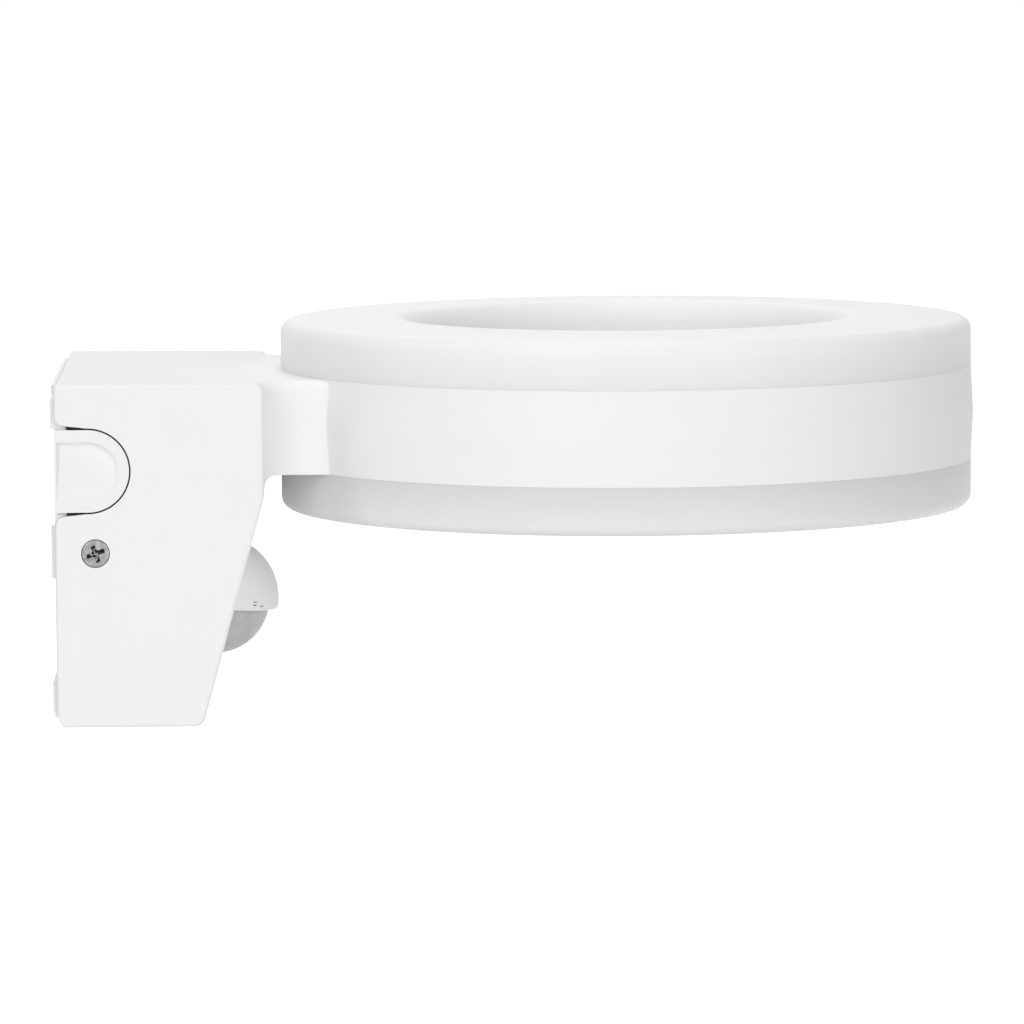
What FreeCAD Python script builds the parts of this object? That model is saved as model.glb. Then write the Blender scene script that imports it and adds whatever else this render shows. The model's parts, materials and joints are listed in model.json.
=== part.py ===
import FreeCAD, Part
import os
import re
import Sketcher
from FreeCAD import Placement, Rotation, Vector
from math import cos, pi, sin

# Wall light with a ring head and a swivelling motion sensor, in millimetres.
# X = 0 is the wall and +X points away from it. Z = 0 is the middle of the wall box.
# Y = 0 is the plane of symmetry.
doc = FreeCAD.newDocument("RingWallLight")
sheet = doc.addObject("Spreadsheet::Sheet", "Dims")

SIZES = {
    # Wall box
    "wall_gap": 1.2,
    "housing_width": 120.0,
    "housing_height": 86.0,
    "housing_depth": 52.5,
    "housing_wall": 2.5,
    "top_rise": 0.4,
    "lean_drop": 4.7,
    "toe_setback": 15.7,
    "toe_round": 2.8,
    "corner_round": 1.0,
    "heel_depth": 1.0,
    "heel_height": 3.0,
    # Neck between box and ring
    "neck_setback": 14.3,
    "neck_gap": 3.5,
    "neck_fillet": 7.0,
    "neck_top_round": 2.0,
    "neck_corner": 3.0,
    "tunnel_width": 14.0,
    "tunnel_height": 10.6,
    # Ring head
    "ring_radius": 90.3,
    "ring_width": 35.3,
    "band_height": 24.0,
    "band_bulge": 0.6,
    "band_wall": 2.4,
    "web_thickness": 3.0,
    "ledge_width": 2.0,
    "ledge_thickness": 1.4,
    # Diffusers and their seals
    "diffuser_height": 12.1,
    "diffuser_wall": 2.0,
    "crown_height": 0.7,
    "crown_radius": 260.0,
    "rim_round": 3.0,
    "hole_round": 5.0,
    "skirt_depth": 4.0,
    "skirt_thickness": 1.6,
    "skirt_gap": 0.2,
    "seal_thickness": 1.2,
    # Light sources
    "board_thickness": 1.6,
    "board_clearance": 0.5,
    "led_count": 36,
    "led_length": 3.4,
    "led_width": 2.8,
    "led_height": 0.8,
    "board_screw_inset": 4.0,
    "small_screw_radius": 1.25,
    "small_head_radius": 2.3,
    "small_head_height": 1.6,
    "small_screw_length": 5.6,
    "small_screw_bite": 2.4,
    "screw_clearance": 0.05,
    "plug_length": 6.0,
    "plug_width": 7.0,
    "plug_height": 3.4,
    "plug_setback": 3.0,
    "lead_radius": 0.9,
    "lead_spacing": 3.0,
    "lead_clearance": 0.1,
    # Wall plate
    "foot_height": 1.0,
    "foot_width": 6.0,
    "foot_inset": 0.6,
    "corner_foot_height": 7.5,
    "side_foot_height": 13.0,
    "foot_spacing": 5.0,
    "centre_foot_radius": 7.0,
    "plate_thickness": 3.0,
    "plate_fit": 0.3,
    "plate_corner": 0.6,
    "rim_inset": 1.6,
    "rim_thickness": 1.8,
    "rim_height": 8.0,
    "box_seal_height": 3.0,
    "box_seal_gap": 0.1,
    "wall_hole_radius": 2.3,
    "wall_hole_pitch_wide": 84.0,
    "wall_hole_pitch_tall": 56.0,
    "cable_hole_radius": 9.0,
    "grommet_fit": 0.05,
    "grommet_flange": 2.5,
    "grommet_flange_thickness": 1.2,
    "grommet_nose": 3.0,
    "grommet_lip": 1.2,
    "cable_radius": 4.0,
    # Cable entry tongues and the screws at the box's sides
    "tongue_height": 20.9,
    "tongue_reach": 19.9,
    "tongue_drop": 21.4,
    "tongue_gap": 0.35,
    "notch_flare": 0.6,
    "notch_round": 2.8,
    "scoop_inset": 2.4,
    "scoop_drop": 0.9,
    "scoop_lip": 0.6,
    "scoop_slope": 0.15,
    "scoop_round": 2.2,
    "scoop_reach": 5.0,
    "side_screw_out": 11.2,
    "side_screw_drop": 20.8,
    "side_screw_radius": 1.9,
    "side_screw_length": 9.0,
    "side_head_radius": 3.55,
    "side_head_height": 1.5,
    "side_head_round": 0.4,
    "side_head_fit": 0.07,
    "cross_length": 4.7,
    "cross_width": 1.1,
    "cross_depth": 1.1,
    "cross_turn": 20.0,
    "cross_centre_radius": 1.0,
    "cross_centre_depth": 2.2,
    "lug_height": 11.0,
    "lug_depth": 8.0,
    "lug_margin": 4.6,
    # Terminals
    "terminal_width": 40.0,
    "terminal_height": 16.0,
    "terminal_depth": 14.0,
    "terminal_gap": 2.4,
    "terminal_pitch": 12.0,
    "terminal_well_depth": 4.5,
    "terminal_screw_radius": 2.2,
    "terminal_screw_length": 3.2,
    "terminal_ear": 7.0,
    "terminal_ear_thickness": 3.0,
    # Power supply
    "driver_depth": 30.0,
    "driver_width": 68.0,
    "driver_height": 22.0,
    "driver_headroom": 3.5,
    "driver_round": 2.0,
    "driver_ear": 9.0,
    "driver_ear_thickness": 2.0,
    "driver_front_gap": 5.2,
    "boss_radius": 3.6,
    "supply_lead_radius": 1.0,
    # Dials and their board
    "dial_pitch": 20.0,
    "dial_from_wall": 20.0,
    "dial_head_radius": 4.7,
    "dial_head_height": 1.6,
    "dial_recess_gap": 0.3,
    "dial_shaft_radius": 2.5,
    "dial_fit": 0.05,
    "dial_slot_width": 1.2,
    "dial_slot_reach": 3.2,
    "dial_slot_depth": 0.8,
    "dial_boss_height": 3.0,
    "pot_size": 9.5,
    "pot_height": 3.5,
    "control_width": 66.0,
    "control_depth": 14.0,
    "control_post_radius": 3.0,
    "control_post_spacing": 56.0,
    # Sensor ball, its seat and its swivel
    "sensor_rise": 26.1,
    "ball_depth": 4.3,
    "ball_radius": 16.1,
    "seat_gap": 0.3,
    "hood_thickness": 1.3,
    "hood_lip": 0.5,
    "hood_drop": 1.6,
    "hood_pitch": 5.0,
    "slit_length": 0.9,
    "slit_height": 0.25,
    "slit_out": 10.0,
    "slit_step": 1.8,
    "slit_up": 0.8,
    "slit_drop": 1.1,
    "lens_radius": 14.2,
    "lens_thickness": 1.6,
    "lens_shift": 0.4,
    "lens_facets": 28,
    "lens_brim": 2.0,
    "lens_row_high": 2.9,
    "lens_row_middle": 7.4,
    "lens_row_low": 11.3,
    "lens_row_foot": 13.6,
    "dome_back": 6.0,
    "shell_thickness": 2.8,
    "sensor_exit_radius": 2.0,
    "sensor_board_thickness": 1.2,
    "sensor_board_gap": 0.15,
    "pyro_radius": 4.1,
    "pyro_height": 4.5,
    "pyro_flange_radius": 4.6,
    "pyro_flange_height": 0.6,
    "strap_thickness": 1.6,
    "strap_width": 4.8,
    "pivot_radius": 1.4,
    "pivot_length": 3.0,
    "pivot_fit": 0.05,
    "retainer_gap": 0.7,
    "retainer_width": 4.0,
    "retainer_depth": 5.2,
    "retainer_ear_radius": 3.4,
    "retainer_ear_reach": 2.0,
    "retainer_ear_thickness": 2.2,
}

for row, (alias, size) in enumerate(SIZES.items(), start=1):
    sheet.set(f"A{row}", alias)
    sheet.set(f"B{row}", str(size))
    sheet.setAlias(f"B{row}", alias)
doc.recompute()

WORD = re.compile(r"[a-z][a-z_]+")
PARTS = []


def formula(text):
    """A formula of the sheet's words, as the document's expressions write it."""
    return WORD.sub(lambda word: "Dims." + word[0] if word[0] in SIZES else word[0], text)


def number(text):
    """The same formula's value in millimetres."""
    plain = WORD.sub(lambda word: f"({SIZES[word[0]]})" if word[0] in SIZES else word[0], text)
    return FreeCAD.Units.Quantity(plain).Value


# Places that several pieces share
HALF_WIDTH = "(housing_width / 2)"
HALF_HEIGHT = "(housing_height / 2)"
INNER_WIDTH = "(housing_width / 2 - housing_wall)"
INNER_HEIGHT = "(housing_height / 2 - housing_wall)"
FRONT = "(wall_gap + housing_depth)"
LEAN_START = "(housing_height / 2 - band_height - lean_drop)"
LEAN = "(toe_setback / (housing_height - band_height - lean_drop))"
SLOPE = f"sqrt(1 + {LEAN}^2)"
PLATE_FRONT = "(foot_height + plate_thickness)"
PLATE_WIDTH = f"({INNER_WIDTH} - plate_fit)"
PLATE_HEIGHT = f"({INNER_HEIGHT} - plate_fit)"
RIM_WIDTH = f"({PLATE_WIDTH} - rim_inset)"
RIM_HEIGHT = f"({PLATE_HEIGHT} - rim_inset)"
NECK_HALF = "(housing_width / 2 - neck_setback)"
RING_REACH = f"({FRONT} + neck_gap + ring_radius)"
HOLE_RADIUS = "(ring_radius - ring_width)"
TONGUE_UP = "(housing_height / 2 - tongue_drop)"
SIDE_SCREW_UP = f"({TONGUE_UP} - side_screw_drop)"
SENSOR_UP = "(sensor_rise - housing_height / 2)"
PILOT = "(small_screw_radius + screw_clearance)"
BAND_TOP = "(housing_height / 2)"
BAND_BOTTOM = "(housing_height / 2 - band_height)"
BAND_MIDDLE = "(housing_height / 2 - band_height / 2)"
CHANNEL_OUTER = "(ring_radius - band_wall)"
CHANNEL_INNER = f"({HOLE_RADIUS} + band_wall)"
BOARD_OUTER = f"({CHANNEL_OUTER} - ledge_width - board_clearance)"
BOARD_INNER = f"({CHANNEL_INNER} + ledge_width + board_clearance)"
BOARD_SEAT = "(web_thickness / 2 - band_height / 2)"
BOARD_FACE = "(web_thickness / 2 - band_height / 2 + board_thickness)"
BOARD_SCREW_CIRCLE = f"({BOARD_OUTER} - board_screw_inset)"
BOARD_SCREWS = [
    (f"({BOARD_SCREW_CIRCLE} * sqrt(3) / 2)", f"({BOARD_SCREW_CIRCLE} / 2)"),
    (f"(-{BOARD_SCREW_CIRCLE} * sqrt(3) / 2)", f"({BOARD_SCREW_CIRCLE} / 2)"),
    ("0", f"(-{BOARD_SCREW_CIRCLE})"),
]
LEAD_COLUMN = f"({PLATE_FRONT} + terminal_depth / 2)"
TERMINAL_SCREW = "(terminal_width / 2 + terminal_ear / 2)"
DRIVER_FRONT = f"({FRONT} - housing_wall - driver_front_gap)"
DRIVER_BACK = f"({DRIVER_FRONT} - driver_depth)"
DRIVER_TOP = f"({INNER_HEIGHT} - driver_headroom)"
DRIVER_MIDDLE = f"({DRIVER_TOP} - driver_height / 2)"
DRIVER_BOTTOM = f"({DRIVER_TOP} - driver_height)"
DRIVER_SCREW_OUT = f"({DRIVER_FRONT} - driver_depth / 2)"
DRIVER_SCREW = "(driver_width / 2 + driver_ear / 2)"
POT_TOP = f"(dial_boss_height + pot_height - {INNER_HEIGHT})"
TERMINAL_BOTTOM = f"({POT_TOP} + board_thickness + terminal_gap)"
TERMINAL_MIDDLE = f"({TERMINAL_BOTTOM} + terminal_height / 2)"
BALL_OUT = f"({FRONT} - {LEAN} * ({LEAN_START} - {SENSOR_UP}) - ball_depth * {SLOPE})"
SEAT_RADIUS = "(ball_radius + seat_gap)"
STRAP_OUTER = "(ball_radius + seat_gap + strap_thickness)"
FACE_INSIDE = "(ball_depth - housing_wall)"
RETAINER_INNER = f"({STRAP_OUTER} + retainer_gap)"
RETAINER_OUTER = f"({STRAP_OUTER} + retainer_gap + retainer_width)"
RETAINER_BACK = f"({FACE_INSIDE} - retainer_depth)"
EAR_CIRCLE = f"({RETAINER_OUTER} + retainer_ear_reach)"
EAR_SIDE = f"({EAR_CIRCLE} / sqrt(2))"
DIAGONALS = [(across, up) for across in (-1, 1) for up in (-1, 1)]
SIDE_NAMES = {-1: "Near", 1: "Far"}
SLACK = 0.01


def bind(thing, prop, text):
    thing.setExpression(prop, formula(text))


def new_body(name):
    """A sub-part made of sketches and features; its label names its file."""
    body = doc.addObject("PartDesign::Body", name)
    body.Label = name
    PARTS.append(body)
    return body


def place(thing, out="0", across="0", up="0", axis=None, turn=None):
    """Bind a sub-part's placement to the sheet."""
    if axis is not None:
        thing.Placement = Placement(Vector(), Rotation(Vector(*axis), 1))
        bind(thing, "Placement.Rotation.Angle", turn)
    for key, text in (("x", out), ("y", across), ("z", up)):
        bind(thing, f"Placement.Base.{key}", text)


def sketch_on(body, name, plane, offset=("0", "0", "0")):
    """An empty sketch on one of the body's origin planes, moved by offset in the sketch's own axes."""
    sketch = body.newObject("Sketcher::SketchObject", name)
    support = [item for item in body.Origin.OriginFeatures if item.Role == plane][0]
    sketch.AttachmentSupport = (support, [""])
    sketch.MapMode = "FlatFace"
    for key, text in zip("xyz", offset):
        bind(sketch, f"AttachmentOffset.Base.{key}", text)
    return sketch


def turn(sketch, axis, angle):
    """Turn a sketch about one of its plane's axes, through its own origin."""
    sketch.AttachmentOffset = Placement(sketch.AttachmentOffset.Base, Rotation(Vector(*axis), 1))
    bind(sketch, "AttachmentOffset.Rotation.Angle", angle)


def hold(sketch, kind, item, point, text):
    """Dimension one point of a sketch from the sketch's origin."""
    row = sketch.addConstraint(Sketcher.Constraint(kind, -1, 1, item, point, number(text)))
    bind(sketch, f"Constraints[{row}]", text)


def draw(sketch, corners, closed):
    """Lines and arcs through corners: (x, y) starts a line, (x, y, radius, bulge) an arc.

    Bulge is 1 for an arc that swells to the left of its chord, -1 to the right.
    """
    spots = [Vector(number(corner[0]), number(corner[1]), 0) for corner in corners]
    starts = []
    ends = []
    steps = len(corners) if closed else len(corners) - 1
    for step in range(steps):
        here = spots[step]
        there = spots[(step + 1) % len(corners)]
        if len(corners[step]) == 2:
            item = sketch.addGeometry(Part.LineSegment(here, there), False)
            starts.append((item, 1))
            ends.append((item, 2))
            continue
        chord = there - here
        radius = number(corners[step][2])
        left = Vector(-chord.y, chord.x, 0).normalize()
        sag = radius - (radius**2 - chord.Length**2 / 4) ** 0.5
        top = (here + there) * 0.5 + left * (sag * corners[step][3])
        item = sketch.addGeometry(Part.Arc(here, top, there), False)
        forward = (sketch.getPoint(item, 1) - here).Length < (sketch.getPoint(item, 2) - here).Length
        starts.append((item, 1 if forward else 2))
        ends.append((item, 2 if forward else 1))
        row = sketch.addConstraint(Sketcher.Constraint("Radius", item, radius))
        bind(sketch, f"Constraints[{row}]", corners[step][2])
    joints = starts if closed else starts + [ends[-1]]
    for step in range(0 if closed else 1, steps):
        sketch.addConstraint(Sketcher.Constraint("Coincident", *ends[step - 1], *starts[step]))
    for corner, joint in zip(corners, joints):
        hold(sketch, "DistanceX", *joint, corner[0])
        hold(sketch, "DistanceY", *joint, corner[1])


def outline(sketch, corners):
    draw(sketch, corners, closed=True)


def open_route(sketch, corners):
    draw(sketch, corners, closed=False)


def rectangle(sketch, low_x, low_y, high_x, high_y):
    outline(sketch, [(low_x, low_y), (high_x, low_y), (high_x, high_y), (low_x, high_y)])


def circle(sketch, x, y, radius):
    spot = Vector(number(x), number(y), 0)
    item = sketch.addGeometry(Part.Circle(spot, Vector(0, 0, 1), number(radius)), False)
    hold(sketch, "DistanceX", item, 3, x)
    hold(sketch, "DistanceY", item, 3, y)
    row = sketch.addConstraint(Sketcher.Constraint("Radius", item, number(radius)))
    bind(sketch, f"Constraints[{row}]", radius)


def volume(body):
    doc.recompute()
    return body.Shape.Volume if body.Tip else 0.0


def extrude(body, kind, sketch, length, midplane=False, reversed=False):
    """Pad or pocket a sketch, and make sure that it added or cut something."""
    before = volume(body)
    feature = body.newObject(f"PartDesign::{kind}", f"{sketch.Name}{kind}")
    feature.Profile = sketch
    feature.Midplane = midplane
    feature.Reversed = reversed
    bind(feature, "Length", length)
    after = volume(body)
    if (after - before) * (1 if kind == "Pad" else -1) <= 0:
        raise RuntimeError(f"{feature.Name} changed nothing")
    return feature


def pad(body, sketch, length, **options):
    return extrude(body, "Pad", sketch, length, **options)


def pocket(body, sketch, length, **options):
    return extrude(body, "Pocket", sketch, length, **options)


def revolve(body, sketch, axis="V_Axis", kind="Revolution"):
    """Turn a sketch once round one of its own axes."""
    before = volume(body)
    feature = body.newObject(f"PartDesign::{kind}", f"{sketch.Name}Turn")
    feature.Profile = sketch
    feature.ReferenceAxis = (sketch, [axis])
    feature.Angle = 360
    if abs(volume(body) - before) < 1e-6:
        raise RuntimeError(f"{feature.Name} changed nothing")
    return feature


def pattern(body, feature, axis, count):
    """Copies of a feature evenly round one of the body's origin axes."""
    copies = body.newObject("PartDesign::PolarPattern", f"{feature.Name}Ring")
    copies.Originals = [feature]
    line = [item for item in body.Origin.OriginFeatures if item.Role == axis][0]
    copies.Axis = (line, [""])
    copies.Angle = 360
    bind(copies, "Occurrences", count)
    body.Tip = copies
    doc.recompute()
    return copies


def rounded(body, name, edges, radius):
    """Fillet the edges of the body's present shape that the test picks."""
    doc.recompute()
    base = body.Tip
    names = [f"Edge{place}" for place, edge in enumerate(base.Shape.Edges, start=1) if edges(edge)]
    if not names:
        raise RuntimeError(f"{name} finds no edge")
    fillet = body.newObject("PartDesign::Fillet", name)
    fillet.Base = (base, names)
    bind(fillet, "Radius", radius)
    doc.recompute()
    return fillet


def near(first, second, slack=0.01):
    return abs(first - second) < slack


def along(edge, axis):
    """Whether an edge is a straight line along X, Y or Z."""
    if len(edge.Vertexes) < 2:
        return False
    span = edge.Vertexes[1].Point - edge.Vertexes[0].Point
    return near(abs(getattr(span, axis)), edge.Length)


def tongue_nose(gap):
    """Corners of the tongue's round end seen from the side, larger by gap, from below to above."""
    radius = f"(tongue_height / 2 + {gap})"
    centre = "(tongue_reach - tongue_height / 2)"
    return [
        (centre, f"{TONGUE_UP} - {radius}", radius, -1),
        (f"{centre} + {radius}", TONGUE_UP, radius, -1),
        (centre, f"{TONGUE_UP} + {radius}"),
    ]


def tongue_outline(sketch, back, gap):
    """Whole round-ended tongue from back to its reach."""
    half = f"(tongue_height / 2 + {gap})"
    below = (back, f"{TONGUE_UP} - {half}")
    above = (back, f"{TONGUE_UP} + {half}")
    outline(sketch, [below, *tongue_nose(gap), above])


def side_sketch(body, name, side, distance):
    """A sketch seen from the side, at distance from the middle; side -1 is near, 1 is far."""
    return sketch_on(body, f"{name}{SIDE_NAMES[side]}", "XZ_Plane", ("0", "0", f"{-side} * {distance}"))


def inward_pad(body, sketch, side, length):
    return pad(body, sketch, length, reversed=side < 0)


def inward_pocket(body, sketch, side, length):
    return pocket(body, sketch, length, reversed=side > 0)


def face_sketch(body, name, depth):
    """A sketch square to the leaning front: origin over the ball's centre, depth in front of it."""
    up = f"{SENSOR_UP} - {depth} * {LEAN} / {SLOPE}"
    sketch = sketch_on(body, name, "YZ_Plane")
    sketch.AttachmentOffset = Placement(Vector(), Rotation(Vector(1, 0, 0), 1))
    bind(sketch, "AttachmentOffset.Rotation.Angle", f"atan({LEAN})")
    bind(sketch, "AttachmentOffset.Base.y", up)
    bind(sketch, "AttachmentOffset.Base.z", f"{BALL_OUT} + {depth} / {SLOPE}")
    return sketch


def ear_circles(sketch, radius):
    for across, up in DIAGONALS:
        circle(sketch, f"{across} * {EAR_SIDE}", f"{up} * {EAR_SIDE}", radius)


def dial_circles(sketch, radius):
    for across in (-1, 0, 1):
        circle(sketch, "dial_from_wall", f"{across} * dial_pitch", radius)


def housing_outside(body):
    """Leaning box with a waisted neck, its outer edges rounded."""
    neck_end = f"({RING_REACH} - sqrt(ring_radius^2 - {NECK_HALF}^2) + band_wall)"
    back_height = f"({HALF_HEIGHT} + top_rise)"
    fall = "(top_rise / (housing_depth + neck_gap))"
    toe_out = f"({FRONT} - toe_setback - {LEAN} * top_rise)"
    side = sketch_on(body, "HousingSide", "XZ_Plane")
    outline(
        side,
        [
            ("wall_gap", f"heel_height - {back_height}"),
            ("wall_gap + heel_depth", f"-{back_height}"),
            (toe_out, f"-{back_height}"),
            (FRONT, LEAN_START),
            (FRONT, f"{BAND_BOTTOM} - neck_corner", "neck_corner", 1),
            (f"{FRONT} + neck_corner", BAND_BOTTOM),
            (neck_end, BAND_BOTTOM),
            (neck_end, f"{BAND_TOP} - {fall} * ({neck_end} - {FRONT} - neck_gap)"),
            ("wall_gap", back_height),
        ],
    )
    pad(body, side, "housing_width", midplane=True)

    for across in (-1, 1):
        waist = sketch_on(body, f"NeckWaist{SIDE_NAMES[across]}", "XY_Plane")
        outline(
            waist,
            [
                (FRONT, f"{across} * housing_width"),
                (FRONT, f"{across} * ({NECK_HALF} + neck_fillet)", "neck_fillet", -across),
                (f"{FRONT} + neck_fillet", f"{across} * {NECK_HALF}"),
                (f"{neck_end} + neck_fillet", f"{across} * {NECK_HALF}"),
                (f"{neck_end} + neck_fillet", f"{across} * housing_width"),
            ],
        )
        pocket(body, waist, "2 * housing_height", midplane=True)

    front = number(FRONT)
    half_width = number(HALF_WIDTH)
    top_level = number(f"{BAND_TOP} - top_rise")

    def toe(edge):
        return along(edge, "y") and near(edge.CenterOfMass.x, number(toe_out))

    def neck_top(edge):
        level = all(corner.Point.z > top_level for corner in edge.Vertexes)
        ahead = all(corner.Point.x > front - SLACK for corner in edge.Vertexes)
        across_top = along(edge, "y") and abs(edge.CenterOfMass.y) < SLACK
        return level and ahead and not across_top

    def side_outline(edge):
        return all(near(abs(corner.Point.y), half_width) for corner in edge.Vertexes)

    rounded(body, "ToeRound", toe, "toe_round")
    rounded(body, "NeckTopRound", neck_top, "neck_top_round")
    rounded(body, "SideRound", side_outline, "corner_round")


def housing_inside(body):
    """Open-backed box, cored neck and the channel of the ring."""
    inner_front = f"{FRONT} - housing_wall * {SLOPE}"
    cavity = sketch_on(body, "HousingCavity", "XZ_Plane")
    outline(
        cavity,
        [
            ("0", f"-{INNER_HEIGHT}"),
            (f"{inner_front} - {LEAN} * ({LEAN_START} + {INNER_HEIGHT})", f"-{INNER_HEIGHT}"),
            (f"{FRONT} - housing_wall", f"{LEAN_START} + housing_wall * ({SLOPE} - 1) / {LEAN}"),
            (f"{FRONT} - housing_wall", INNER_HEIGHT),
            ("0", INNER_HEIGHT),
        ],
    )
    pocket(body, cavity, f"2 * {INNER_WIDTH}", midplane=True)

    core = sketch_on(body, "NeckCore", "XY_Plane", ("0", "0", f"{BAND_BOTTOM} + housing_wall"))
    core_half = f"({NECK_HALF} - housing_wall)"
    rectangle(core, f"{FRONT} - 2 * housing_wall", f"-{core_half}", RING_REACH, core_half)
    pocket(body, core, "band_height - 2 * housing_wall", reversed=True)

    ring_clear = sketch_on(body, "RingClear", "XY_Plane", (RING_REACH, "0", "0"))
    circle(ring_clear, "0", "0", "ring_radius - band_wall / 2")
    pocket(body, ring_clear, "2 * housing_height", midplane=True)

    edge = "(ring_radius - band_bulge)"
    half = "(band_height / 2)"
    web = "(web_thickness / 2)"
    ledge = f"({half} - skirt_depth - seal_thickness)"
    under = f"({ledge} - ledge_thickness)"
    outer_ledge = f"({CHANNEL_OUTER} - ledge_width)"
    inner_ledge = f"({CHANNEL_INNER} + ledge_width)"
    upper_channel = [
        (CHANNEL_OUTER, half),
        (CHANNEL_OUTER, ledge),
        (outer_ledge, ledge),
        (outer_ledge, under),
        (CHANNEL_OUTER, under),
        (CHANNEL_OUTER, web),
        (CHANNEL_INNER, web),
        (CHANNEL_INNER, under),
        (inner_ledge, under),
        (inner_ledge, ledge),
        (CHANNEL_INNER, ledge),
        (CHANNEL_INNER, half),
    ]
    lower_channel = [(radius, f"-{height}") for radius, height in reversed(upper_channel)]
    ring = sketch_on(body, "RingSection", "XZ_Plane", (RING_REACH, BAND_MIDDLE, "0"))
    outside = [(edge, f"-{half}"), ("ring_radius", "0"), (edge, half)]
    hole = [(HOLE_RADIUS, half), (HOLE_RADIUS, f"-{half}")]
    outline(ring, outside + upper_channel + hole + lower_channel)
    revolve(body, ring)

    tunnel_end = f"{RING_REACH} - sqrt({CHANNEL_OUTER}^2 - tunnel_width^2 / 4)"
    tunnel = sketch_on(body, "LeadTunnel", "YZ_Plane", ("0", BAND_MIDDLE, tunnel_end))
    rectangle(tunnel, "-tunnel_width / 2", "-tunnel_height / 2", "tunnel_width / 2", "tunnel_height / 2")
    pocket(body, tunnel, "2 * band_wall")

    pilots = sketch_on(body, "BoardPilots", "XY_Plane", (RING_REACH, "0", BAND_MIDDLE))
    for spot in BOARD_SCREWS + [(x, f"-{y}") for x, y in BOARD_SCREWS]:
        circle(pilots, *spot, PILOT)
    pocket(body, pilots, "2 * web_thickness", midplane=True)


def housing_openings(body):
    """Notches and screw seats in the sides, the sensor's seat and the dials' holes."""
    notch = sketch_on(body, "TongueNotch", "XZ_Plane")
    mouth = "(tongue_height / 2 + tongue_gap + notch_flare)"
    outline(
        notch,
        [
            ("wall_gap", f"{TONGUE_UP} - {mouth} - notch_round", "notch_round", 1),
            ("wall_gap + notch_round", f"{TONGUE_UP} - {mouth}"),
            *tongue_nose("tongue_gap"),
            ("wall_gap + notch_round", f"{TONGUE_UP} + {mouth}", "notch_round", 1),
            ("wall_gap", f"{TONGUE_UP} + {mouth} + notch_round"),
        ],
    )
    pocket(body, notch, "2 * housing_width", midplane=True)

    screw = sketch_on(body, "SideScrewHole", "XZ_Plane")
    circle(screw, "side_screw_out", SIDE_SCREW_UP, "side_screw_radius + screw_clearance")
    pocket(body, screw, "2 * housing_width", midplane=True)
    for side in (-1, 1):
        seat = side_sketch(body, "SideScrewSeat", side, HALF_WIDTH)
        circle(seat, "side_screw_out", SIDE_SCREW_UP, "side_head_radius + side_head_fit")
        inward_pocket(body, seat, side, "side_head_height")

    eye = body.newObject("PartDesign::SubtractiveSphere", "SensorSeat")
    bind(eye, "Radius", SEAT_RADIUS)
    bind(eye, "Placement.Base.x", BALL_OUT)
    bind(eye, "Placement.Base.z", SENSOR_UP)

    boss = sketch_on(body, "DialBosses", "XY_Plane", ("0", "0", f"-{INNER_HEIGHT}"))
    dial_circles(boss, "dial_shaft_radius + housing_wall")
    pad(body, boss, "dial_boss_height")
    recess = sketch_on(body, "DialRecesses", "XY_Plane", ("0", "0", f"-{HALF_HEIGHT} - top_rise"))
    dial_circles(recess, "dial_head_radius + dial_recess_gap")
    pocket(body, recess, "top_rise + dial_head_height + dial_fit", reversed=True)
    bore = sketch_on(body, "DialBores", "XY_Plane", ("0", "0", f"-{HALF_HEIGHT}"))
    dial_circles(bore, "dial_shaft_radius + dial_fit")
    pocket(body, bore, "housing_wall + dial_boss_height", reversed=True)


def housing_posts(body):
    """Screw posts for the power supply, the dials' board and the sensor's retainer."""
    hangers = sketch_on(body, "DriverPosts", "XY_Plane", ("0", "0", DRIVER_TOP))
    hanger_pilots = sketch_on(body, "DriverPilots", "XY_Plane", ("0", "0", DRIVER_TOP))
    for across in (-1, 1):
        circle(hangers, DRIVER_SCREW_OUT, f"{across} * {DRIVER_SCREW}", "boss_radius")
        circle(hanger_pilots, DRIVER_SCREW_OUT, f"{across} * {DRIVER_SCREW}", PILOT)
    pad(body, hangers, "driver_headroom + housing_wall / 2")
    pocket(body, hanger_pilots, "driver_headroom", reversed=True)

    posts = sketch_on(body, "ControlPosts", "XY_Plane", ("0", "0", f"-{INNER_HEIGHT} - housing_wall / 2"))
    post_pilots = sketch_on(body, "ControlPilots", "XY_Plane", ("0", "0", POT_TOP))
    for across in (-1, 1):
        circle(posts, "dial_from_wall", f"{across} * control_post_spacing / 2", "control_post_radius")
        circle(post_pilots, "dial_from_wall", f"{across} * control_post_spacing / 2", PILOT)
    pad(body, posts, "housing_wall / 2 + dial_boss_height + pot_height")
    pocket(body, post_pilots, "small_screw_length")

    stand = "(retainer_depth - retainer_ear_thickness)"
    studs = face_sketch(body, "RetainerPosts", f"({FACE_INSIDE} - {stand})")
    ear_circles(studs, "retainer_ear_radius")
    pad(body, studs, f"{stand} + housing_wall / 2")
    stud_pilots = face_sketch(body, "RetainerPilots", f"({FACE_INSIDE} - {stand})")
    ear_circles(stud_pilots, PILOT)
    pocket(body, stud_pilots, f"{stand} + housing_wall / 2", reversed=True)


def housing():
    body = new_body("housing")
    housing_outside(body)
    housing_inside(body)
    housing_openings(body)
    housing_posts(body)


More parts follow.
